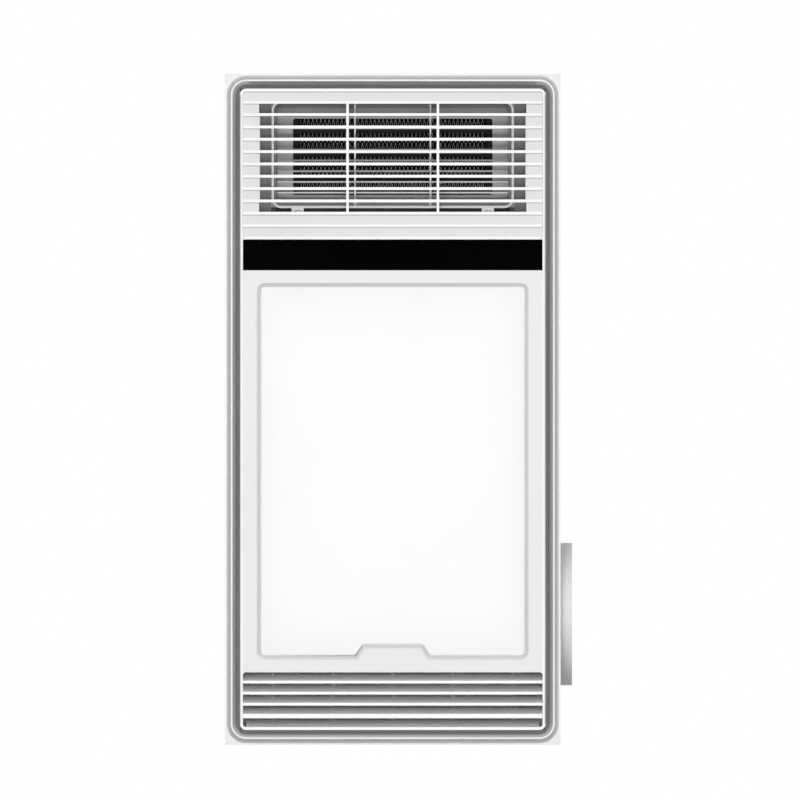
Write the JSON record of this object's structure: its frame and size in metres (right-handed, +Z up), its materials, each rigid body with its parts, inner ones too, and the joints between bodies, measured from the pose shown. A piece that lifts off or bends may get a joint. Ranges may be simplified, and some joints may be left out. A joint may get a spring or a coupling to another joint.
{
  "type": "bathroom ceiling heater",
  "caption": "Warm-air bathroom heater for a panelled ceiling: white face with ribbed outlet, swing blades, hinged light cover, slatted intake and side duct collar.",
  "frame": {"origin": "middle of the panel, on the ceiling plane that the edge of the face rests against", "axes": "+Z up into the ceiling, +Y along the length towards the intake end, +X towards the duct collar"},
  "size_m": [0.3102, 0.6, 0.1618],
  "materials": {
    "white_moulding": "satin white moulding",
    "black_gloss": "black gloss",
    "opal": "opal light cover",
    "grey_plastic": "light grey moulding",
    "black_plastic": "black moulding",
    "zinc_steel": "zinc-coated sheet steel",
    "steel": "plated steel",
    "aluminium": "bare aluminium",
    "brass": "tinned brass",
    "magnet": "ferrite magnet",
    "board": "white lamp board",
    "lamp": "light-emitting chip"
  },
  "bodies": {
    "heater_unit": {"panel_frame": "white_moulding", "face_panel": "white_moulding", "outlet_grille": "white_moulding", "intake_grille": "white_moulding", "trim_strip": "black_gloss", "air_nozzle": "grey_plastic", "duct_collar": "grey_plastic", "heater_volute": "grey_plastic", "heater_inlet": "grey_plastic", "exhaust_volute": "grey_plastic", "exhaust_inlet": "grey_plastic", "wiring_box": "grey_plastic", "wiring_lid": "grey_plastic", "cable_gland": "grey_plastic", "led_driver": "grey_plastic", "ptc_holder": "black_plastic", "ptc_rods": "black_plastic", "run_capacitors": "black_plastic", "terminal_block": "black_plastic", "housing": "zinc_steel", "housing_flange": "zinc_steel", "hanger_brackets": "zinc_steel", "hot_air_hood": "zinc_steel", "nozzle_brackets": "zinc_steel", "led_tray": "zinc_steel", "tray_screws": "steel", "bracket_rivets": "steel", "panel_screws": "steel", "nozzle_screws": "steel", "louver_motor": "steel", "thermal_cutout": "steel", "heater_motor": "steel", "exhaust_motor": "steel", "blower_screws": "steel", "collar_screws": "steel", "flap_pin": "steel", "lid_screws": "steel", "ptc_fins": "aluminium", "ptc_terminals": "brass", "catch_magnets": "magnet", "led_boards": "board", "led_chips": "lamp"},
    "light_cover": {"light_cover": "opal", "cover_hinge_pins": "steel", "catch_plates": "steel"},
    "louver_link": {"louver_link": "grey_plastic"},
    "heater_fan": {"heater_impeller": "black_plastic", "heater_shaft": "steel"},
    "exhaust_fan": {"exhaust_impeller": "black_plastic", "exhaust_shaft": "steel"},
    "backdraft_flap": {"backdraft_flap": "grey_plastic"},
    "louver_1": {"louver_1": "grey_plastic"},
    "louver_2": {"louver_2": "grey_plastic"},
    "louver_3": {"louver_3": "grey_plastic"},
    "louver_4": {"louver_4": "grey_plastic", "louver_motor_shaft": "steel"},
    "louver_5": {"louver_5": "grey_plastic"},
    "louver_6": {"louver_6": "grey_plastic"},
    "louver_7": {"louver_7": "grey_plastic"},
    "louver_8": {"louver_8": "grey_plastic"}
  },
  "joints": [
    {"name": "cover_hinge", "type": "hinge", "parent": "heater_unit", "child": "light_cover", "pos_m": [0, -0.098, -0.004], "axis": [-1, 0, 0], "range_deg": [0, 85]},
    {"name": "louver_swing_1", "type": "hinge", "parent": "heater_unit", "child": "louver_1", "pos_m": [0, -0.2608, 0.016], "axis": [1, 0, 0], "range_deg": [-30, 30]},
    {"name": "louver_swing_2", "type": "hinge", "parent": "heater_unit", "child": "louver_2", "pos_m": [0, -0.2512, 0.016], "axis": [1, 0, 0], "range_deg": [-30, 30]},
    {"name": "louver_swing_3", "type": "hinge", "parent": "heater_unit", "child": "louver_3", "pos_m": [0, -0.2416, 0.016], "axis": [1, 0, 0], "range_deg": [-30, 30]},
    {"name": "louver_swing_4", "type": "hinge", "parent": "heater_unit", "child": "louver_4", "pos_m": [0, -0.232, 0.016], "axis": [1, 0, 0], "range_deg": [-30, 30]},
    {"name": "louver_swing_5", "type": "hinge", "parent": "heater_unit", "child": "louver_5", "pos_m": [0, -0.2224, 0.016], "axis": [1, 0, 0], "range_deg": [-30, 30]},
    {"name": "louver_swing_6", "type": "hinge", "parent": "heater_unit", "child": "louver_6", "pos_m": [0, -0.2128, 0.016], "axis": [1, 0, 0], "range_deg": [-30, 30]},
    {"name": "louver_swing_7", "type": "hinge", "parent": "heater_unit", "child": "louver_7", "pos_m": [0, -0.2032, 0.016], "axis": [1, 0, 0], "range_deg": [-30, 30]},
    {"name": "louver_swing_8", "type": "hinge", "parent": "heater_unit", "child": "louver_8", "pos_m": [0, -0.1936, 0.016], "axis": [1, 0, 0], "range_deg": [-30, 30]},
    {"name": "link_pivot", "type": "hinge", "parent": "louver_1", "child": "louver_link", "pos_m": [-0.1089, -0.2608, 0.022], "axis": [1, 0, 0], "range_deg": [-30, 30]},
    {"name": "heater_fan_spin", "type": "hinge", "parent": "heater_unit", "child": "heater_fan", "pos_m": [0.025, -0.06, 0.078], "axis": [0, 0, 1], "continuous": true},
    {"name": "exhaust_fan_spin", "type": "hinge", "parent": "heater_unit", "child": "exhaust_fan", "pos_m": [-0.025, 0.1195, 0.078], "axis": [0, 0, -1], "continuous": true},
    {"name": "flap_hinge", "type": "hinge", "parent": "heater_unit", "child": "backdraft_flap", "pos_m": [0.13357, 0.183, 0.1316], "axis": [0, -1, 0], "range_deg": [0, 60]}
  ],
  "couplings": [
    {"joint": "louver_swing_2", "follows": "louver_swing_1", "ratio": 1},
    {"joint": "louver_swing_3", "follows": "louver_swing_1", "ratio": 1},
    {"joint": "louver_swing_4", "follows": "louver_swing_1", "ratio": 1},
    {"joint": "louver_swing_5", "follows": "louver_swing_1", "ratio": 1},
    {"joint": "louver_swing_6", "follows": "louver_swing_1", "ratio": 1},
    {"joint": "louver_swing_7", "follows": "louver_swing_1", "ratio": 1},
    {"joint": "louver_swing_8", "follows": "louver_swing_1", "ratio": 1},
    {"joint": "link_pivot", "follows": "louver_swing_1", "ratio": -1}
  ]
}
